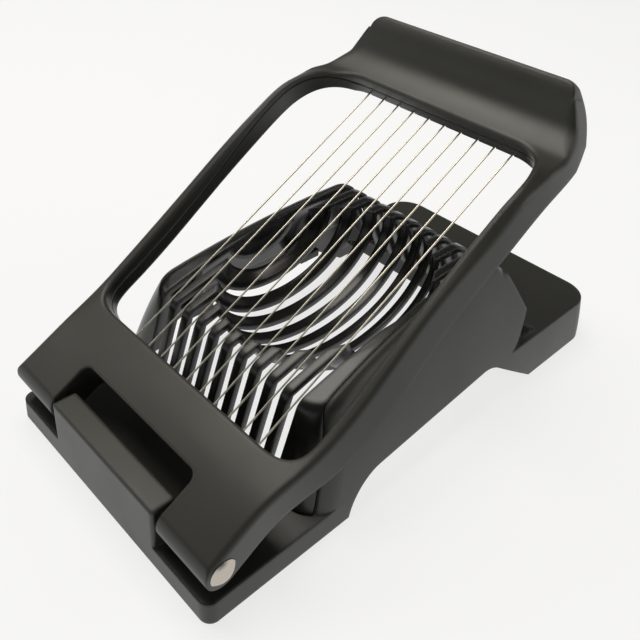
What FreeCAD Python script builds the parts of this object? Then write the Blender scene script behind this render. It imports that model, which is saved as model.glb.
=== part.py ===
import FreeCAD, Part
import math
import os

# Egg slicer: a hollow base with a ribbed egg cradle, and a wire frame hinged across its front end.
# Millimetres, Z up, X across, Y from the hinge towards the handle.
# The base is drawn with its front face at Y 0 and moved onto the origin when it is saved.
# The frame is drawn flat, with its hinge axis on X, and is then tilted to its resting angle.

V = FreeCAD.Vector
X_AXIS = V(1, 0, 0)
Y_AXIS = V(0, 1, 0)
Z_AXIS = V(0, 0, 1)

# Reach of cutters past the object, and the least length of the edges that are picked for rounding
WIDE = 70.0
TALL = 60.0
PAST = 5.0
NEAR = 0.5
UPRIGHT_MIN = 15.0
LONG_MIN = 150.0

# Base: overall size, wall and outline
BASE_LENGTH = 187.6
FRONT_HALF = 50.0
REAR_HALF = 48.9
LEAN_MID = (25.0, 4.3)
LEAN_TOP = (52.0, 15.1)
WALL = 2.6
SLAB_HEIGHT = 7.3
SLAB_END = 56.0
SLAB_CORNER = 3.5
FRONT_FOOT = 30.6
CREST = (45.9, 37.6)
CREST_SOFT = 5.0
RIM_MID = (83.3, 46.2)
RIM_END = (128.6, 48.9)
RIM_TURN = (132.4, 47.7)
REAR_TOP = (135.3, 45.2)
FLANGE_START = (149.8, 17.0)
FLANGE_MID = (150.6, 16.3)
FLANGE_END = (151.8, 16.0)
BLOCK_CORNER = 11.0
FLANGE_CORNER = 10.0
BELOW_FLOOR = 12.0

# Side arch between the front and rear feet
ARCH_FRONT = (52.5, 0.0)
ARCH_CURVE = (57.4, 8.2)
ARCH_TOP_FRONT = (66.0, 12.0)
ARCH_TOP_REAR = (119.0, 16.5)
ARCH_CREST = (123.6, 15.7)
ARCH_SHOULDER = (127.5, 13.5)
ARCH_REAR = (147.3, 0.0)

# Hinge bar and pin
BAR_HALF = 26.0
BAR_DEPTH = 8.2
BAR_TOP = 22.0
BAR_SOFT = 1.0
HINGE_Y = 5.5
HINGE_Z = 17.6
PIN_RADIUS = 1.9
PIN_CLEARANCE = 0.05
HEAD_RADIUS = 4.1
HEAD_HEIGHT = 1.6
HEAD_SEAT = 0.2
CAP_SOCKET = 1.0

# Egg cradle: bowl, shell, slots and its seat in the housing
BOWL_CENTRE = V(0, 88.0, 46.0)
BOWL_AXES = (32.5, 38.0, 26.0)
SHELL = 2.2
SEAT_GAP = 0.3
SLOT_COUNT = 10
SLOT_PITCH = 6.68
SLOT_HALF = 1.85
SLOT_FRONT_Z = 12.2
SLOT_REAR_Z = 15.4
CRADLE_REAR = 151.6
SKIRT_INNER = 35.4
SKIRT_SPAN = (47.0, 143.0)

# Screws that hold the cradle down onto tabs inside the housing
BOSS_X = 36.6
BOSS_SPOTS = (62.0, 114.0)
BOSS_RADIUS = 3.2
TAB_TOP = 24.0
TAB_THICK = 3.0
TAB_HALF = 4.6
TAB_INNER = 32.6
TAB_OUTER = 44.4
CRADLE_SCREW = {"head": 2.4, "height": 1.8, "shank": 1.25, "length": 11.0}

# Frame side view, from the hinge axis: along the wires and square to them
TILT = 29.24
NOSE = 5.4
TOP_INNER = 45.0
TOP_OUTER = 57.0
TOP_LINE = (
    (-9.0, 5.3, 5.3),
    (6.0, 5.3, 5.3),
    (20.0, 5.2, 5.0),
    (33.0, 3.8, 3.0),
    (45.0, 4.1, 2.6),
    (87.0, 9.1, 6.6),
    (117.0, 13.1, 5.4),
    (128.0, 12.9, 4.6),
    (136.0, 9.3, 3.6),
    (142.0, 5.2, 5.0),
    (147.5, 2.4, 2.3),
    (153.0, 1.9, 1.9),
    (157.5, 2.4, 2.4),
    (161.5, 5.6, 5.6),
    (164.5, 8.3, 8.3),
    (167.2, 10.0, 10.0),
    (170.0, 11.0, 11.0),
    (175.0, 12.0, 12.0),
)
LIP_BREAK = (167.2, 9.95)
LIP_ROUND = ((168.7, 10.95), (169.6, 10.6), (169.6, 8.8))
HANDLE_BACK = ((169.6, -0.5), (168.4, -3.6), (161.0, -6.6))
HANDLE_LOW = (150.0, -4.8)
RAIL_LOW = (
    (140.1, -1.4), (131.3, 0.7), (121.0, 1.45), (110.0, 1.0), (88.0, -1.1), (45.0, -6.2), (36.0, -6.3),
)
PLATE_LOW = (27.0, -5.6)
ABOVE = 30.0

# Frame plan: flank points as distance along, half width high up and half width low down
LEVEL_HIGH = 15.0
LEVEL_LOW = -8.0
FLANK = (
    (-9.0, 49.0, 49.0),
    (6.0, 49.0, 49.0),
    (19.0, 48.9, 49.2),
    (31.0, 48.5, 51.8),
    (45.0, 48.2, 54.0),
    (88.0, 48.9, 54.7),
    (128.0, 49.5, 55.2),
    (138.0, 48.2, 54.0),
    (148.0, 45.9, 51.7),
    (160.0, 41.4, 47.2),
    (175.0, 35.6, 41.4),
)
LIP_TIP = (169.0, 10.5)
LIP_LEAN = 42.0
LIP_HALF = 40.6
LIP_CORNER = 5.0
LIP_REACH = 20.0
TOP_SOFT = 1.7
WINDOW_SOFT = 1.2

# Window in the frame, and the ring under it that carries the wires
WINDOW_HINGE = 29.0
WINDOW_HANDLE = 147.0
WINDOW_HIGH = (45.4, 46.6)
WINDOW_LOW = (48.8, 48.4)
CORNER_X = (34.5, 31.0)
CORNER_HINGE = 15.0
CORNER_HANDLE = 23.0
CORNER_EASE = 0.55
CORNER_PULL = 4.2
WINDOW_GAP = 1.0
CORNER_STEP = 0.05
RING_SIDE = 2.2
RING_HINGE = 21.0
RING_HANDLE = 155.0
RING_GAP = 0.4
RING_TOP = -2.0
RING_LOW = -5.5
RING_TOP_LINE = ((37.0, -1.7), (45.0, -1.4), (88.0, 3.7), (128.0, 8.2), (138.0, 5.0), (WINDOW_HANDLE, RING_TOP))
RING_LOW_TURN = 146.0
RING_LOW_LINE = (
    (138.5, -0.9), (130.0, 0.95), (120.0, 1.6), (110.0, 1.1), (88.0, -1.0), (45.0, -6.1), (36.0, -6.2),
)
NOTCH_HALF = 27.7
NOTCH_BACK = 12.6
NOTCH_CORNER = 3.0

# Wires, the stops crimped on their ends, and the screws that hold the ring
WIRE_RADIUS = 0.3
WIRE_LEVEL = -4.8
GROOVE_HALF = 0.36
STOP_RADIUS = 0.75
STOP_LENGTH = 3.6
STOP_SINK = 2.8
STOP_ROOM = 34.0
STOP_ROOM_HINGE = 16.2
STOP_ROOM_HANDLE = 159.4
STOP_ROOM_TOP = -2.8
RING_SCREW_X = 37.0
RING_SCREW_SPOTS = (25.2, 150.9)
RING_SCREW = {"head": 2.1, "height": 1.3, "shank": 1.1, "length": 4.6}


def side(along, up):
    return V(0, along, up)


def side_at(across):
    return lambda along, up: V(across, along, up)


def plan(level):
    return lambda across, along: V(across, along, level)


def section(station):
    return lambda across, up: V(across, station, up)


def wire_of(place, start, steps):
    # One point draws a line, two draw an arc, three draw a curve by its handles, more a spline.
    edges = []
    here = place(*start)
    for step in steps:
        points = [place(*point) for point in step]
        if len(points) == 1:
            edges.append(Part.makeLine(here, points[0]))
        elif len(points) == 2:
            edges.append(Part.Arc(here, points[0], points[1]).toShape())
        elif len(points) == 3:
            curve = Part.BezierCurve()
            curve.setPoles([here] + points)
            edges.append(curve.toShape())
        else:
            curve = Part.BSplineCurve()
            curve.interpolate([here] + points)
            edges.append(curve.toShape())
        here = points[-1]
    return Part.Wire(edges)


def across_x(wire, half):
    face = Part.Face(wire)
    face.translate(V(-half, 0, 0))
    return face.extrude(V(2 * half, 0, 0))


def box(low, high):
    size = [high[i] - low[i] for i in range(3)]
    return Part.makeBox(size[0], size[1], size[2], V(*low))


def both_sides(shape):
    return [shape, shape.mirror(V(0, 0, 0), X_AXIS)]


def rounded(shape, radius, wanted):
    edges = [edge for edge in shape.Edges if wanted(edge)]
    return shape.makeFillet(radius, edges)


def base_section(half, inset, station):
    # Front view of the base: flat below, walls that lean inwards in a gentle curve.
    foot = half - inset
    middle = half - LEAN_MID[1] - inset
    top = half - LEAN_TOP[1] - inset
    steps = [
        [(foot, -BELOW_FLOOR)],
        [(middle, LEAN_MID[0]), (top, LEAN_TOP[0])],
        [(-top, LEAN_TOP[0])],
        [(-middle, LEAN_MID[0]), (-foot, -BELOW_FLOOR)],
    ]
    return wire_of(section(station), (-foot, -BELOW_FLOOR), steps)


def leaning_body(inset):
    sections = [
        base_section(FRONT_HALF, inset, 0.0),
        base_section(REAR_HALF, inset, BASE_LENGTH),
    ]
    return Part.makeLoft(sections, True, True)


def block_profile():
    # Side view of the housing behind the front slab: steep front, rising rim, rear slope, flange.
    steps = [
        [CREST],
        [RIM_MID, RIM_END],
        [RIM_TURN, REAR_TOP],
        [FLANGE_START],
        [FLANGE_MID, FLANGE_END],
        [(BASE_LENGTH, FLANGE_END[1])],
        [(BASE_LENGTH, -BELOW_FLOOR)],
        [(FRONT_FOOT, -BELOW_FLOOR)],
    ]
    return wire_of(side, (FRONT_FOOT, -BELOW_FLOOR), steps)


def profile_solid(inset):
    face = Part.Face(block_profile())
    if inset > 0:
        face = face.makeOffset2D(-inset, 2)
    face.translate(V(-WIDE, 0, 0))
    return face.extrude(V(2 * WIDE, 0, 0))


def is_upright(edge):
    return edge.BoundBox.ZLength > UPRIGHT_MIN and abs(edge.BoundBox.Center.x) > BAR_HALF


def is_front_upright(edge):
    return is_upright(edge) and edge.BoundBox.YMax < RIM_MID[0]


def is_rear_upright(edge):
    return is_upright(edge) and edge.BoundBox.YMin > BASE_LENGTH - FLANGE_CORNER


def corner_room(inset):
    # Room at the rear corners of the block for the window of the closed frame.
    end = HINGE_Y + WINDOW_HANDLE
    room = box((-WIDE, end - CORNER_HANDLE, FLANGE_END[1] + CORNER_STEP - inset), (WIDE, end, TALL))
    shrink = WINDOW_GAP + inset
    outline = window_outline(0.0, WINDOW_LOW, -shrink, WINDOW_HINGE, WINDOW_HANDLE - shrink)
    inner = Part.Face(outline).extrude(Z_AXIS * TALL)
    inner.translate(V(0, HINGE_Y, 0))
    return room.cut(inner)


def block(inset):
    body = leaning_body(inset).common(profile_solid(inset)).Solids[0]
    body = rounded(body, BLOCK_CORNER - inset, is_front_upright)
    body = rounded(body, FLANGE_CORNER - inset, is_rear_upright).Solids[0]
    return body.cut(corner_room(inset)).Solids[0]


def is_rim(edge):
    # Top edges of the block: the crest, its two rounded corners and the long side rims.
    bound = edge.BoundBox
    level = bound.ZMin > CREST[1] - 2 * NEAR and bound.ZLength < UPRIGHT_MIN
    return level and bound.YMax < RIM_END[0] + NEAR and bound.YMin < RIM_MID[0]


def outer_block():
    return rounded(block(0), CREST_SOFT, is_rim).Solids[0]


def slab(inset):
    room = box((-WIDE, inset, -BELOW_FLOOR), (WIDE, SLAB_END, SLAB_HEIGHT - inset))
    body = leaning_body(inset).common(room).Solids[0]
    is_corner = lambda edge: edge.BoundBox.YMax < inset + NEAR and edge.BoundBox.ZLength > PAST
    return rounded(body, SLAB_CORNER - inset, is_corner)


def arch():
    steps = [
        [ARCH_CURVE, ARCH_TOP_FRONT],
        [ARCH_TOP_REAR],
        [ARCH_CREST, ARCH_SHOULDER],
        [ARCH_REAR],
        [(ARCH_REAR[0], -BELOW_FLOOR)],
        [(ARCH_FRONT[0], -BELOW_FLOOR)],
        [ARCH_FRONT],
    ]
    return across_x(wire_of(side, ARCH_FRONT, steps), WIDE)


def hinge_bar():
    bar = box((-BAR_HALF, 0, SLAB_HEIGHT - WALL), (BAR_HALF, BAR_DEPTH, BAR_TOP))
    return rounded(bar, BAR_SOFT, lambda edge: edge.BoundBox.ZMax > BAR_TOP - NEAR)


def pin_rod(radius, half):
    return Part.makeCylinder(radius, 2 * half, V(-half, HINGE_Y, HINGE_Z), X_AXIS)


def screw(spot, sizes):
    # Pan-head screw pointing up, with the underside of its head at the spot.
    head = Part.makeCylinder(sizes["head"], sizes["height"], spot - Z_AXIS * sizes["height"])
    shank = Part.makeCylinder(sizes["shank"], sizes["length"], spot)
    return head.fuse(shank).removeSplitter()


def cradle_screw_spots():
    level = TAB_TOP - TAB_THICK
    return [V(across, along, level) for along in BOSS_SPOTS for across in (-BOSS_X, BOSS_X)]


def make_housing(outer):
    body = outer.fuse(slab(0))
    body = body.cut(block(WALL)).cut(slab(WALL))
    pocket_room = box((-WIDE, FRONT_FOOT, SLAB_HEIGHT), (WIDE, CRADLE_REAR + SEAT_GAP, TALL))
    body = body.cut(leaning_body(WALL).common(pocket_room))
    body = body.cut(arch())
    body = body.common(box((-WIDE, -PAST, 0), (WIDE, BASE_LENGTH + PAST, TALL)))
    tabs = []
    for along in BOSS_SPOTS:
        low = (TAB_INNER, along - TAB_HALF, TAB_TOP - TAB_THICK)
        tabs += both_sides(box(low, (TAB_OUTER, along + TAB_HALF, TAB_TOP)))
    body = body.fuse([hinge_bar()] + tabs)
    holes = [Part.makeCylinder(CRADLE_SCREW["shank"], 2 * TAB_THICK, spot) for spot in cradle_screw_spots()]
    holes.append(pin_rod(PIN_RADIUS + PIN_CLEARANCE, BAR_HALF + PAST))
    return body.cut(holes).Solids[0]


def ellipsoid(grow):
    scale = FreeCAD.Matrix()
    scale.scale(V(*[axis + grow for axis in BOWL_AXES]))
    shape = Part.makeSphere(1.0).transformGeometry(scale)
    shape.translate(BOWL_CENTRE)
    return shape


def slot_places():
    return [(i - (SLOT_COUNT - 1) / 2) * SLOT_PITCH for i in range(SLOT_COUNT)]


def slot_cutter(across):
    # Upright slot whose foot rises along the line that the closed wires take under the bowl.
    end = CRADLE_REAR + PAST
    start = FRONT_FOOT - PAST
    steps = [[(end, SLOT_REAR_Z)], [(end, TALL)], [(start, TALL)], [(start, SLOT_FRONT_Z)]]
    face = Part.Face(wire_of(side_at(across - SLOT_HALF), (start, SLOT_FRONT_Z), steps))
    return face.extrude(V(2 * SLOT_HALF, 0, 0))


def make_cradle(outer):
    seat = WALL + SEAT_GAP
    room = box((-WIDE, FRONT_FOOT, SLAB_HEIGHT + SEAT_GAP), (WIDE, CRADLE_REAR, TALL))
    blank = outer.common(leaning_body(seat)).common(room)
    inside = leaning_body(seat + SHELL).common(block(SHELL))
    inside = inside.common(box((-WIDE, 0, -BELOW_FLOOR), (WIDE, CRADLE_REAR - SHELL, TALL)))
    shell = blank.cut(inside.cut(ellipsoid(SHELL)))
    bosses = []
    for spot in cradle_screw_spots():
        foot = V(spot.x, spot.y, TAB_TOP)
        bosses.append(Part.makeCylinder(BOSS_RADIUS, TALL - TAB_TOP, foot).common(blank))
    shell = shell.fuse(bosses)
    low = (SKIRT_INNER, SKIRT_SPAN[0], 0)
    shell = shell.cut(both_sides(box(low, (WIDE, SKIRT_SPAN[1], TAB_TOP))))
    shell = shell.cut([ellipsoid(0)] + [slot_cutter(across) for across in slot_places()])
    drill = [
        Part.makeCylinder(CRADLE_SCREW["shank"], CRADLE_SCREW["length"], spot)
        for spot in cradle_screw_spots()
    ]
    return shell.cut(drill)


def flank_outline(level, column):
    # Plan outline of the frame: straight lugs, rails that swell outwards, a handle that draws in.
    flank = [(point[column], point[0]) for point in FLANK]
    back = [(-across, along) for across, along in reversed(flank)]
    steps = [flank[1:], [back[0]], back[1:], [flank[0]]]
    return wire_of(plan(level), flank[0], steps)


def flank_body():
    low = flank_outline(LEVEL_LOW, 2)
    high = flank_outline(LEVEL_HIGH, 1)
    return Part.makeLoft([low, high], True, True)


def top_section(across, column):
    line = [(row[0], row[column]) for row in TOP_LINE]
    steps = [line[1:], [(line[-1][0], LEVEL_LOW)], [(line[0][0], LEVEL_LOW)], [line[0]]]
    return wire_of(side_at(across), line[0], steps)


def top_body():
    # Everything under the top skin, which is level across the window and falls away along the rails.
    places = ((-TOP_OUTER, 2), (-TOP_INNER, 1), (TOP_INNER, 1), (TOP_OUTER, 2))
    return Part.makeLoft([top_section(*place) for place in places], True, True)


def trim_profile():
    # Round nose about the hinge, round lip, back of the handle and arched underside, open upwards.
    quarter = NOSE * math.sqrt(0.5)
    steps = [
        [(-quarter, quarter), (0.0, NOSE)],
        [(0.0, ABOVE)],
        [(LIP_BREAK[0], ABOVE)],
        [LIP_BREAK],
        LIP_ROUND,
        HANDLE_BACK,
        [HANDLE_LOW],
        RAIL_LOW,
        [PLATE_LOW],
        [(0.0, -NOSE)],
        [(-quarter, -quarter), (-NOSE, 0.0)],
    ]
    return wire_of(side, (-NOSE, 0.0), steps)


def lip_corner():
    # Rounds one end of the lip, seen square to the lip.
    centre = LIP_HALF - LIP_CORNER
    tool = box((centre, -LIP_CORNER, -LIP_REACH), (WIDE, LIP_REACH, LIP_REACH))
    turn = V(centre, -LIP_CORNER, -LIP_REACH)
    tool = tool.cut(Part.makeCylinder(LIP_CORNER, 2 * LIP_REACH, turn))
    tool.rotate(V(0, 0, 0), X_AXIS, LIP_LEAN)
    tool.translate(side(*LIP_TIP))
    return tool


def window_outline(level, halves, grow, start, end):
    # Plan outline of the window, with tighter corners by the hinge and long ones by the handle.
    near = halves[0] + grow
    far = halves[1] + grow
    first = CORNER_X[0] + grow
    last = CORNER_X[1] + grow
    bend = end - CORNER_HANDLE
    ease = end - CORNER_HANDLE * CORNER_EASE
    steps = [
        [(first, start)],
        [(near, start), (near, start + CORNER_HINGE / 3), (near, start + CORNER_HINGE)],
        [(far, bend)],
        [(far, ease), (far - CORNER_PULL, end), (last, end)],
        [(-last, end)],
        [(CORNER_PULL - far, end), (-far, ease), (-far, bend)],
        [(-near, start + CORNER_HINGE)],
        [(-near, start + CORNER_HINGE / 3), (-near, start), (-first, start)],
    ]
    return wire_of(plan(level), (-first, start), steps)


def window(grow, start, end):
    high = window_outline(LEVEL_HIGH, WINDOW_HIGH, grow, start, end)
    low = window_outline(LEVEL_LOW, WINDOW_LOW, grow, start, end)
    return Part.makeLoft([low, high], True, True)


def is_long_top(edge):
    # The two outer edges of the top skin, from the lugs to the lip.
    bound = edge.BoundBox
    return bound.ZMin > 0 and bound.YLength > LONG_MIN and bound.XLength > PAST


def frame_blank():
    plate = flank_body().common(top_body()).Solids[0]
    plate = rounded(plate, TOP_SOFT, is_long_top)
    plate = plate.common(across_x(trim_profile(), WIDE))
    return plate.cut(both_sides(lip_corner())).Solids[0]


def ring_top(lift):
    return tuple((along, up + lift) for along, up in RING_TOP_LINE)


def ring_profile():
    start = (RING_HINGE - PAST, RING_LOW)
    end = RING_HANDLE + PAST
    steps = [
        [(start[0], RING_TOP)],
        [(WINDOW_HINGE, RING_TOP)],
        ring_top(0),
        [(end, RING_TOP)],
        [(end, RING_LOW)],
        [(RING_LOW_TURN, RING_LOW)],
        RING_LOW_LINE,
        [(WINDOW_HINGE, RING_LOW)],
        [start],
    ]
    return wire_of(side, start, steps)


def pocket_profile():
    # Room for the ring on the underside of the cover, open downwards, with a fine gap over the ring.
    top = RING_TOP + RING_GAP
    start = (RING_HINGE - PAST, -ABOVE)
    end = RING_HANDLE + PAST
    steps = [
        [(start[0], top)],
        [(WINDOW_HINGE, top)],
        ring_top(RING_GAP),
        [(end, top)],
        [(end, -ABOVE)],
        [start],
    ]
    return wire_of(side, start, steps)


def ring_screw_spots():
    level = RING_LOW + RING_SCREW["height"]
    return [V(across, along, level) for along in RING_SCREW_SPOTS for across in (-RING_SCREW_X, RING_SCREW_X)]


def ring_screw_bores():
    return [Part.makeCylinder(RING_SCREW["shank"], RING_SCREW["length"], spot) for spot in ring_screw_spots()]


def is_notch_corner(edge):
    return edge.BoundBox.YMin > NOTCH_BACK - NEAR and edge.BoundBox.ZLength > ABOVE


def notch():
    room = box((-NOTCH_HALF, -NOTCH_BACK, -ABOVE), (NOTCH_HALF, NOTCH_BACK, ABOVE))
    return rounded(room, NOTCH_CORNER, is_notch_corner)


def lug_bore():
    return Part.makeCylinder(PIN_RADIUS, 2 * WIDE, V(-WIDE, 0, 0), X_AXIS)


def is_window_rim(edge):
    bound = edge.BoundBox
    inside = bound.YMin > WINDOW_HINGE - NEAR and bound.YMax < WINDOW_HANDLE + NEAR
    return inside and bound.ZMin > 1 and bound.DiagonalLength > CORNER_HINGE - 1 and bound.ZLength < 14


def make_cover():
    body = frame_blank().cut(window(0, WINDOW_HINGE, WINDOW_HANDLE)).Solids[0]
    body = rounded(body, WINDOW_SOFT, is_window_rim)
    pocket = window(RING_SIDE, RING_HINGE, RING_HANDLE).common(across_x(pocket_profile(), WIDE))
    hinge_room = box((-STOP_ROOM, STOP_ROOM_HINGE, -ABOVE), (STOP_ROOM, RING_HINGE + 1, STOP_ROOM_TOP))
    handle_room = box((-STOP_ROOM, RING_HANDLE - 1, -ABOVE), (STOP_ROOM, STOP_ROOM_HANDLE, STOP_ROOM_TOP))
    body = body.cut([pocket, hinge_room, handle_room])
    return body.cut([notch(), lug_bore()] + ring_screw_bores()).Solids[0]


def make_ring():
    body = window(RING_SIDE, RING_HINGE, RING_HANDLE).cut(window(0, WINDOW_HINGE, WINDOW_HANDLE))
    body = body.common(across_x(ring_profile(), WIDE))
    grooves = []
    for across in slot_places():
        low = (across - GROOVE_HALF, RING_HINGE - 1, -ABOVE)
        high = (across + GROOVE_HALF, RING_HANDLE + 1, WIRE_LEVEL + GROOVE_HALF)
        grooves.append(box(low, high))
    heads = []
    for spot in ring_screw_spots():
        heads.append(Part.makeCylinder(RING_SCREW["head"] + 0.2, ABOVE, spot - Z_AXIS * ABOVE))
    return body.cut(grooves + heads + ring_screw_bores()).Solids[0]


def make_wire(across):
    start = RING_HINGE - STOP_SINK
    length = RING_HANDLE + STOP_SINK - start
    return Part.makeCylinder(WIRE_RADIUS, length, V(across, start, WIRE_LEVEL), Y_AXIS)


def hexagon(radius, centre):
    # Six-sided outline across Y, as the jaws of a crimping tool leave it.
    corners = []
    for turn in range(7):
        angle = math.radians(60 * turn)
        corners.append(centre + V(math.cos(angle), 0, math.sin(angle)) * radius)
    return Part.Face(Part.makePolygon(corners))


def make_stops(start):
    stops = []
    for across in slot_places():
        sleeve = hexagon(STOP_RADIUS, V(across, start, WIRE_LEVEL)).extrude(V(0, STOP_LENGTH, 0))
        stops.append(sleeve.cut(make_wire(across)))
    return Part.Compound(stops)


def dome():
    # Domed head: the cap of a ball, flat side on the lug.
    ball = (HEAD_RADIUS ** 2 + HEAD_HEIGHT ** 2) / (2 * HEAD_HEIGHT)
    head = Part.makeSphere(ball, V(HEAD_HEIGHT - ball, 0, 0))
    return head.common(Part.makeCylinder(2 * HEAD_RADIUS, 2 * HEAD_HEIGHT, V(0, 0, 0), X_AXIS))


def make_pin():
    face = FLANK[0][1] + HEAD_SEAT
    rod = Part.makeCylinder(PIN_RADIUS, 2 * face + CAP_SOCKET, V(-face - CAP_SOCKET, 0, 0), X_AXIS)
    head = dome()
    head.translate(V(face, 0, 0))
    return rod.fuse(head).Solids[0]


def make_cap():
    cap = dome().cut(Part.makeCylinder(PIN_RADIUS, CAP_SOCKET, V(0, 0, 0), X_AXIS))
    cap = cap.mirror(V(0, 0, 0), X_AXIS)
    cap.translate(V(-FLANK[0][1] - HEAD_SEAT, 0, 0))
    return cap


def at_rest(shape):
    shape.rotate(V(0, 0, 0), X_AXIS, TILT)
    shape.translate(V(0, HINGE_Y, HINGE_Z))
    return shape


def save(name, shape):
    shape.translate(V(0, -BASE_LENGTH / 2, 0))
    shape.exportStep("parts/" + name + ".step")


os.makedirs("parts", exist_ok=True)
outer = outer_block()
save("base_housing", make_housing(outer))
save("egg_cradle", make_cradle(outer))
save("cradle_screws", Part.Compound([screw(spot, CRADLE_SCREW) for spot in cradle_screw_spots()]))
save("frame_cover", at_rest(make_cover()))
save("wire_carrier", at_rest(make_ring()))
save("carrier_screws", at_rest(Part.Compound([screw(spot, RING_SCREW) for spot in ring_screw_spots()])))
for number, across in enumerate(slot_places(), 1):
    save("wire_%02d" % number, at_rest(make_wire(across)))
save("wire_stops_hinge_end", at_rest(make_stops(RING_HINGE - STOP_LENGTH)))
save("wire_stops_handle_end", at_rest(make_stops(RING_HANDLE)))
save("hinge_pin", at_rest(make_pin()))
save("hinge_pin_cap", at_rest(make_cap()))
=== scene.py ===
import math

import bpy
from bpy.props import FloatProperty, FloatVectorProperty, PointerProperty
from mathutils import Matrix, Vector

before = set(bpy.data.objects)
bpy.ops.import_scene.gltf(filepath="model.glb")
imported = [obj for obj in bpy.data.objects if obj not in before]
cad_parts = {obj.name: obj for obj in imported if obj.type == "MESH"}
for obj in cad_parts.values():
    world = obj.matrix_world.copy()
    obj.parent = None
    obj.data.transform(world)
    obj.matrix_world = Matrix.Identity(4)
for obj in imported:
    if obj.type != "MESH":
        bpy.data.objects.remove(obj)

bl_info = {
    "name": "Egg Slicer",
    "version": (1, 0, 0),
    "blender": (4, 2, 0),
    "location": "View3D > Sidebar > Egg Slicer",
    "description": "Dresses the egg slicer in its plastics and steels and sets it on a pale table",
    "category": "Object",
}

MM = 0.001

# Groups of like pieces
WIRES = ["wire_%02d" % number for number in range(1, 11)]
STOPS = ["wire_stops_hinge_end", "wire_stops_handle_end"]
SCREWS = ["cradle_screws", "carrier_screws"]
PIN_PIECES = ["hinge_pin", "hinge_pin_cap"]

# Plastics: a fine mould grain, and wide patches where the sheen changes a little
PLASTIC_IOR = 1.5
GRAIN_DETAIL = 2.0
GRAIN_CONTRAST = 0.6
PATCH_WIDTH_IN_GRAINS = 60
PATCH_DETAIL = 3.0
PATCH_LOW = 0.3
PATCH_HIGH = 0.7
PATCH_GLOSSIER = 0.03
PATCH_DULLER = 0.04
EDGE_SAMPLES = 4

# Inner corner between the handle and its lip: a line along X, at this Y and Z.
# The cove radius holds up to the near distance from that line, and is gone at the far one.
COVE_Y = 0.0481
COVE_Z = 0.0969
COVE_NEAR = 3.0 * MM
COVE_FAR = 9.0 * MM

# Steels: fine marks left by crimping, plating and tumbling
MARK_DETAIL = 3.0
MARK_DEPTH = 0.01 * MM

# Surround: bright walls up to the first height and a dim ceiling above the second, as sines of the angle
WALL_TOP = 0.04
CEILING_START = 0.3

# Soft lights: place, point that they face, and width and height, in metres
KEY_PLACE = (-0.27, 0.0, 0.85)
KEY_AIM = (0, 0.03, 0.08)
KEY_SIZE = (0.6, 0.6)
FILL_PLACE = (-0.8, -0.48, 0.68)
FILL_SIZE = (0.4, 0.3)
RIM_PLACE = (0.6, 0.45, 0.4)
RIM_SIZE = (0.4, 0.2)
LOW_AIM = (0, 0, 0.04)

# Camera at the photograph's view, in metres, degrees, millimetres of sensor and shares of the picture
CAMERA_PLACE = (0.14436, -0.16527, 0.1976)
CAMERA_TURN = (57.3486, -2.1331, 48.1348)
CAMERA_CLIP = 0.01
SENSOR_WIDTH = 36.0
SHIFT_X = 0.07
SHIFT_Y = -0.14


def linear(code):
    """Linear colour of an sRGB hex code."""
    values = [int(code[i:i + 2], 16) / 255 for i in (1, 3, 5)]
    return [v / 12.92 if v <= 0.04045 else ((v + 0.055) / 1.055) ** 2.4 for v in values]


def colour(label, code, about):
    return FloatVectorProperty(
        name=label, description=about, subtype="COLOR", size=3, min=0, max=1, default=linear(code))


def length(label, value, about):
    return FloatProperty(
        name=label, description=about, unit="LENGTH", subtype="DISTANCE", min=0, precision=5, default=value)


def share(label, value, about):
    return FloatProperty(name=label, description=about, subtype="FACTOR", min=0, max=1, default=value)


def strength(label, value, about):
    return FloatProperty(name=label, description=about, min=0, default=value)


def watts(label, value, about):
    return FloatProperty(name=label, description=about, unit="POWER", min=0, default=value)


class PlasticLook(bpy.types.PropertyGroup):
    """Colours and surface of the moulded plastics."""

    charcoal: colour("Charcoal", "#292923", "Satin plastic of the base and the frame")
    black: colour("Black", "#141413", "Glossier plastic of the egg cradle")
    satin_rough: share("Satin roughness", 0.4, "Roughness of the housing and the frame cover")
    fine_rough: share("Fine roughness", 0.34, "Roughness of the wire carrier")
    gloss_rough: share("Gloss roughness", 0.24, "Roughness of the polished cradle")
    satin_relief: share("Satin relief", 0.5, "Strength of the texture on the housing and the frame cover")
    fine_relief: share("Fine relief", 0.3, "Strength of the texture on the wire carrier")
    gloss_relief: share("Gloss relief", 0.15, "Strength of the texture left on the polished cradle")
    # Mould grain is finer than this, and is drawn as coarse as it needs to show.
    grain: length("Grain", 0.35 * MM, "Width of one grain of the mould texture")
    grain_depth: length("Grain depth", 0.012 * MM, "Height of the mould texture")
    edge: length("Edge radius", 1.5 * MM, "Radius that shading gives every moulded edge")
    cove: length("Cove radius", 6.0 * MM, "Larger radius where the handle turns up into its lip")


class SteelLook(bpy.types.PropertyGroup):
    """Colours and surface of the metal pieces."""

    bright: colour("Bright", "#cbc5b6", "Drawn stainless wire")
    pin: colour("Pin", "#bdb5ab", "Stainless pin and wire stops")
    zinc: colour("Zinc", "#b9bcc0", "Zinc plated screws")
    wire_rough: share("Wire roughness", 0.28, "Roughness of the drawn wire")
    stop_rough: share("Stop roughness", 0.3, "Roughness of the crimped wire stops")
    zinc_rough: share("Zinc roughness", 0.28, "Roughness of the plated screws")
    pin_rough: share("Pin roughness", 0.2, "Roughness of the pin heads")
    small_relief: share("Small relief", 0.2, "Strength of the marks on the wire stops and the screws")
    pin_relief: share("Pin relief", 0.35, "Strength of the marks on the pin heads")
    # Such marks are finer than this, and are drawn as coarse as they need to show.
    scratch: length("Scratch", 0.6 * MM, "Spacing of the fine marks")


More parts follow.
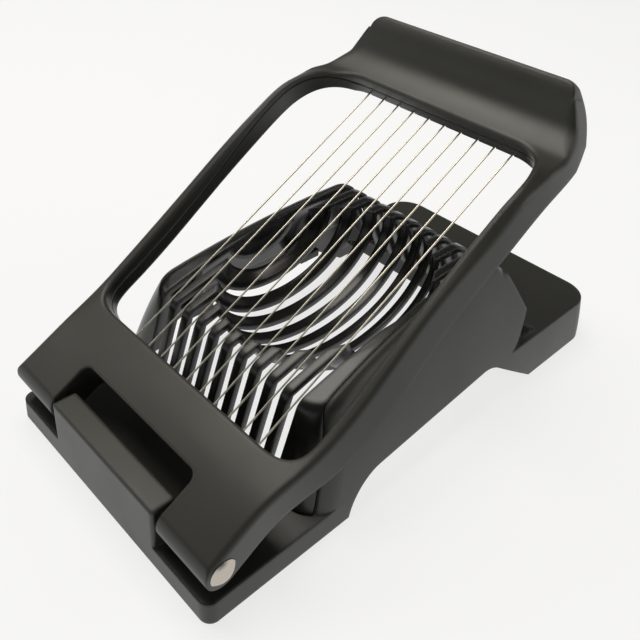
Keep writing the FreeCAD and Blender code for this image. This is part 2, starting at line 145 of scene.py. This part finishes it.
class StageLook(bpy.types.PropertyGroup):
    """Table, lights and camera."""

    table: colour("Table", "#7c7c7a", "Opal sheet of the table under the object")
    lamp: colour("Lamp", "#fffbf2", "Warm white of the soft lights")
    sky: colour("Surround", "#ffffff", "Even white of the surround and of the light through the table")
    table_rough: share("Table roughness", 0.9, "Roughness of the opal sheet")
    glow: strength("Table glow", 0.76, "Light that comes through the table")
    wall_power: strength("Wall power", 0.86, "Strength of the low surround")
    sky_power: strength("Ceiling power", 0.1, "Strength of the high surround")
    key_power: watts("Key power", 5.6, "Main soft light, from above")
    fill_power: watts("Fill power", 0.8, "Soft light from the left front")
    rim_power: watts("Rim power", 1.0, "Soft light from the right rear")
    table_size: length("Table size", 20.0, "Edge of the square table")
    lens: FloatProperty(name="Lens", description="Focal length", unit="CAMERA", min=1, default=45.17)


def empty_tree(owner):
    """Node tree of a material or a world, with nothing in it."""
    owner.use_nodes = True
    owner.node_tree.nodes.clear()
    return owner.node_tree


def add(tree, kind, settings=None, links=None):
    """A new node with its settings, and links from (node, output) to its named inputs."""
    node = tree.nodes.new(kind)
    for key, value in (settings or {}).items():
        if key in node.inputs:
            node.inputs[key].default_value = value
        else:
            setattr(node, key, value)
    for key, (source, output) in (links or {}).items():
        tree.links.new(source.outputs[output], node.inputs[key])
    return node


def rgba(values):
    return (values[0], values[1], values[2], 1.0)


def cove_radius(tree, place, look):
    """Edge radius by distance from the handle's inner corner: large along it, small elsewhere."""
    # A scale of nought along X leaves only the distance square to the corner.
    across = add(
        tree, "ShaderNodeMapping",
        {"Location": (0, -COVE_Y, -COVE_Z), "Scale": (0, 1, 1)},
        {"Vector": (place, "Object")})
    away = add(tree, "ShaderNodeVectorMath", {"operation": "LENGTH"}, {"Vector": (across, 0)})
    return add(
        tree, "ShaderNodeMapRange",
        {"From Min": COVE_NEAR, "From Max": COVE_FAR, "To Min": look.cove, "To Max": look.edge},
        {"Value": (away, "Value")})


def moulded_plastic(name, look, tint, rough, relief, cove=False):
    """Injection moulded plastic: mould grain breaks the highlight up, and edges keep a small radius."""
    material = bpy.data.materials.new(name)
    tree = empty_tree(material)
    place = add(tree, "ShaderNodeTexCoord")
    grain = add(
        tree, "ShaderNodeTexNoise",
        {"Scale": 1 / look.grain, "Detail": GRAIN_DETAIL, "Roughness": GRAIN_CONTRAST},
        {"Vector": (place, "Object")})
    patches = add(
        tree, "ShaderNodeTexNoise",
        {"Scale": 1 / (PATCH_WIDTH_IN_GRAINS * look.grain), "Detail": PATCH_DETAIL},
        {"Vector": (place, "Object")})
    glossier = rough - PATCH_GLOSSIER
    duller = rough + PATCH_DULLER
    sheen = add(
        tree, "ShaderNodeMapRange",
        {"From Min": PATCH_LOW, "From Max": PATCH_HIGH, "To Min": glossier, "To Max": duller},
        {"Value": (patches, 0)})
    radius = {"Radius": (cove_radius(tree, place, look), 0)} if cove else {}
    edge = add(tree, "ShaderNodeBevel", {"Radius": look.edge, "samples": EDGE_SAMPLES}, radius)
    bump = add(
        tree, "ShaderNodeBump",
        {"Strength": relief, "Distance": look.grain_depth},
        {"Height": (grain, 0), "Normal": (edge, 0)})
    shader = add(
        tree, "ShaderNodeBsdfPrincipled",
        {"Base Color": rgba(tint), "IOR": PLASTIC_IOR},
        {"Roughness": (sheen, 0), "Normal": (bump, 0)})
    add(tree, "ShaderNodeOutputMaterial", links={"Surface": (shader, 0)})
    return material


def steel(name, look, tint, rough, relief=0):
    """Bare or plated steel: a metal's reflection, broken by fine marks where there is relief."""
    material = bpy.data.materials.new(name)
    tree = empty_tree(material)
    normal = {}
    if relief:
        place = add(tree, "ShaderNodeTexCoord")
        marks = add(
            tree, "ShaderNodeTexNoise",
            {"Scale": 1 / look.scratch, "Detail": MARK_DETAIL},
            {"Vector": (place, "Object")})
        bump = add(
            tree, "ShaderNodeBump",
            {"Strength": relief, "Distance": MARK_DEPTH},
            {"Height": (marks, 0)})
        normal = {"Normal": (bump, 0)}
    shader = add(
        tree, "ShaderNodeBsdfPrincipled",
        {"Base Color": rgba(tint), "Metallic": 1.0, "Roughness": rough},
        normal)
    add(tree, "ShaderNodeOutputMaterial", links={"Surface": (shader, 0)})
    return material


def dress(names, material):
    """Gives CAD pieces this material in place of any other."""
    for name in names:
        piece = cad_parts[name]
        piece.data.materials.clear()
        piece.data.materials.append(material)


class EGGSLICER_OT_housing(bpy.types.Operator):
    """Satin charcoal plastic on the base housing"""

    bl_idname = "eggslicer.housing"
    bl_label = "Dress housing"

    def execute(self, context):
        look = context.scene.egg_plastic
        # Spark-eroded mould: a soft, slightly grey sheen with no sharp mirror image.
        material = moulded_plastic(
            "abs_charcoal_spark_eroded", look, look.charcoal, look.satin_rough, look.satin_relief)
        dress(["base_housing"], material)
        return {"FINISHED"}


class EGGSLICER_OT_cradle(bpy.types.Operator):
    """Glossier black plastic on the egg cradle"""

    bl_idname = "eggslicer.cradle"
    bl_label = "Dress cradle"

    def execute(self, context):
        look = context.scene.egg_plastic
        # Polished mould: deeper black with clear highlights along the ribs.
        material = moulded_plastic(
            "abs_black_polished_mould", look, look.black, look.gloss_rough, look.gloss_relief)
        dress(["egg_cradle"], material)
        return {"FINISHED"}


class EGGSLICER_OT_frame(bpy.types.Operator):
    """Satin charcoal plastic on the frame cover"""

    bl_idname = "eggslicer.frame"
    bl_label = "Dress frame cover"

    def execute(self, context):
        look = context.scene.egg_plastic
        # Same texture as the housing: broad soft highlights roll over the rails and the handle.
        material = moulded_plastic(
            "abs_charcoal_textured_cover", look, look.charcoal, look.satin_rough, look.satin_relief,
            cove=True)
        dress(["frame_cover"], material)
        return {"FINISHED"}


class EGGSLICER_OT_carrier(bpy.types.Operator):
    """Satin plastic on the wire carrier"""

    bl_idname = "eggslicer.carrier"
    bl_label = "Dress wire carrier"

    def execute(self, context):
        look = context.scene.egg_plastic
        # Tighter texture than the cover: its lip shows a slightly brighter line under the seam.
        material = moulded_plastic(
            "abs_charcoal_fine_ring", look, look.charcoal, look.fine_rough, look.fine_relief)
        dress(["wire_carrier"], material)
        return {"FINISHED"}


class EGGSLICER_OT_wires(bpy.types.Operator):
    """Drawn stainless steel on the cutting wires"""

    bl_idname = "eggslicer.wires"
    bl_label = "Dress wires"

    def execute(self, context):
        look = context.scene.egg_steel
        # Drawn through a die: thin bright lines that pick up the surround.
        material = steel("stainless_drawn_wire", look, look.bright, look.wire_rough)
        dress(WIRES, material)
        return {"FINISHED"}


class EGGSLICER_OT_stops(bpy.types.Operator):
    """Crimped steel on the wire stops"""

    bl_idname = "eggslicer.stops"
    bl_label = "Dress wire stops"

    def execute(self, context):
        look = context.scene.egg_steel
        # Pressed sleeves: duller than the wire, with a soft reflection.
        material = steel("stainless_crimped_sleeve", look, look.pin, look.stop_rough, look.small_relief)
        dress(STOPS, material)
        return {"FINISHED"}


class EGGSLICER_OT_screws(bpy.types.Operator):
    """Zinc plating on the screws"""

    bl_idname = "eggslicer.screws"
    bl_label = "Dress screws"

    def execute(self, context):
        look = context.scene.egg_steel
        # Electroplated: cool grey with a blurred shine.
        material = steel("steel_zinc_plated", look, look.zinc, look.zinc_rough, look.small_relief)
        dress(SCREWS, material)
        return {"FINISHED"}


class EGGSLICER_OT_pin(bpy.types.Operator):
    """Tumbled stainless steel on the hinge pin and its cap"""

    bl_idname = "eggslicer.pin"
    bl_label = "Dress hinge pin"

    def execute(self, context):
        look = context.scene.egg_steel
        # Headed and tumbled: a bright dome with a satin edge to its highlight.
        material = steel("stainless_headed_tumbled", look, look.pin, look.pin_rough, look.pin_relief)
        dress(PIN_PIECES, material)
        return {"FINISHED"}


def lay_table(scene, look):
    half = look.table_size / 2
    outline = [(-half, -half, 0), (half, -half, 0), (half, half, 0), (-half, half, 0)]
    mesh = bpy.data.meshes.new("table")
    mesh.from_pydata(outline, [], [(0, 1, 2, 3)])
    table = bpy.data.objects.new("table", mesh)
    scene.collection.objects.link(table)
    # Opal acrylic lit from below: even and pale, with faint shadows and no reflection of the object.
    material = bpy.data.materials.new("acrylic_opal_cast_sheet")
    tree = empty_tree(material)
    shader = add(tree, "ShaderNodeBsdfPrincipled", {
        "Base Color": rgba(look.table),
        "Roughness": look.table_rough,
        "Emission Color": rgba(look.sky),
        "Emission Strength": look.glow,
    })
    add(tree, "ShaderNodeOutputMaterial", links={"Surface": (shader, 0)})
    mesh.materials.append(material)


def light_surround(scene, look):
    """White walls up to a low height, and a dimmer ceiling over them."""
    world = bpy.data.worlds.new("white_surround")
    tree = empty_tree(world)
    place = add(tree, "ShaderNodeTexCoord")
    height = add(tree, "ShaderNodeSeparateXYZ", links={"Vector": (place, "Generated")})
    power = add(
        tree, "ShaderNodeMapRange",
        {
            "From Min": WALL_TOP,
            "From Max": CEILING_START,
            "To Min": look.wall_power,
            "To Max": look.sky_power,
        },
        {"Value": (height, "Z")})
    glow = add(tree, "ShaderNodeBackground", {"Color": rgba(look.sky)}, {"Strength": (power, 0)})
    add(tree, "ShaderNodeOutputWorld", links={"Surface": (glow, 0)})
    scene.world = world


def hang_light(scene, look, name, place, aim, size, power):
    lamp = bpy.data.lights.new(name, "AREA")
    lamp.shape = "RECTANGLE"
    lamp.size = size[0]
    lamp.size_y = size[1]
    lamp.energy = power
    lamp.color = look.lamp
    item = bpy.data.objects.new(name, lamp)
    item.location = place
    item.rotation_euler = (Vector(aim) - Vector(place)).to_track_quat("-Z", "Y").to_euler()
    scene.collection.objects.link(item)


def place_camera(scene, look):
    camera = bpy.data.cameras.new("camera")
    camera.sensor_width = SENSOR_WIDTH
    camera.lens = look.lens
    camera.shift_x = SHIFT_X
    camera.shift_y = SHIFT_Y
    camera.clip_start = CAMERA_CLIP
    camera.dof.use_dof = False
    viewer = bpy.data.objects.new("camera", camera)
    viewer.location = CAMERA_PLACE
    viewer.rotation_euler = [math.radians(angle) for angle in CAMERA_TURN]
    scene.collection.objects.link(viewer)
    scene.camera = viewer


class EGGSLICER_OT_stage(bpy.types.Operator):
    """Pale table, soft lights and the camera"""

    bl_idname = "eggslicer.stage"
    bl_label = "Set the stage"

    def execute(self, context):
        scene = context.scene
        look = scene.egg_stage
        lay_table(scene, look)
        light_surround(scene, look)
        hang_light(scene, look, "key_softbox", KEY_PLACE, KEY_AIM, KEY_SIZE, look.key_power)
        hang_light(scene, look, "fill_softbox", FILL_PLACE, LOW_AIM, FILL_SIZE, look.fill_power)
        hang_light(scene, look, "rim_softbox", RIM_PLACE, LOW_AIM, RIM_SIZE, look.rim_power)
        scene.view_settings.view_transform = "Standard"
        place_camera(scene, look)
        return {"FINISHED"}


OPERATORS = (
    EGGSLICER_OT_housing,
    EGGSLICER_OT_cradle,
    EGGSLICER_OT_frame,
    EGGSLICER_OT_carrier,
    EGGSLICER_OT_wires,
    EGGSLICER_OT_stops,
    EGGSLICER_OT_screws,
    EGGSLICER_OT_pin,
    EGGSLICER_OT_stage,
)


class EGGSLICER_PT_panel(bpy.types.Panel):
    """Settings of the egg slicer's looks"""

    bl_idname = "EGGSLICER_PT_panel"
    bl_label = "Egg Slicer"
    bl_space_type = "VIEW_3D"
    bl_region_type = "UI"
    bl_category = "Egg Slicer"

    def draw(self, context):
        for group in (context.scene.egg_plastic, context.scene.egg_steel, context.scene.egg_stage):
            part = self.layout.box()
            for name in group.__annotations__:
                part.prop(group, name)
        for operator in OPERATORS:
            self.layout.operator(operator.bl_idname)


CLASSES = (PlasticLook, SteelLook, StageLook) + OPERATORS + (EGGSLICER_PT_panel,)


def register():
    for item in CLASSES:
        bpy.utils.register_class(item)
    bpy.types.Scene.egg_plastic = PointerProperty(type=PlasticLook)
    bpy.types.Scene.egg_steel = PointerProperty(type=SteelLook)
    bpy.types.Scene.egg_stage = PointerProperty(type=StageLook)


def unregister():
    del bpy.types.Scene.egg_stage
    del bpy.types.Scene.egg_steel
    del bpy.types.Scene.egg_plastic
    for item in reversed(CLASSES):
        bpy.utils.unregister_class(item)


def main():
    register()
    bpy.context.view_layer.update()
    bpy.ops.eggslicer.housing()
    bpy.ops.eggslicer.cradle()
    bpy.ops.eggslicer.frame()
    bpy.ops.eggslicer.carrier()
    bpy.ops.eggslicer.wires()
    bpy.ops.eggslicer.stops()
    bpy.ops.eggslicer.screws()
    bpy.ops.eggslicer.pin()
    bpy.ops.eggslicer.stage()


if __name__ == "__main__":
    main()
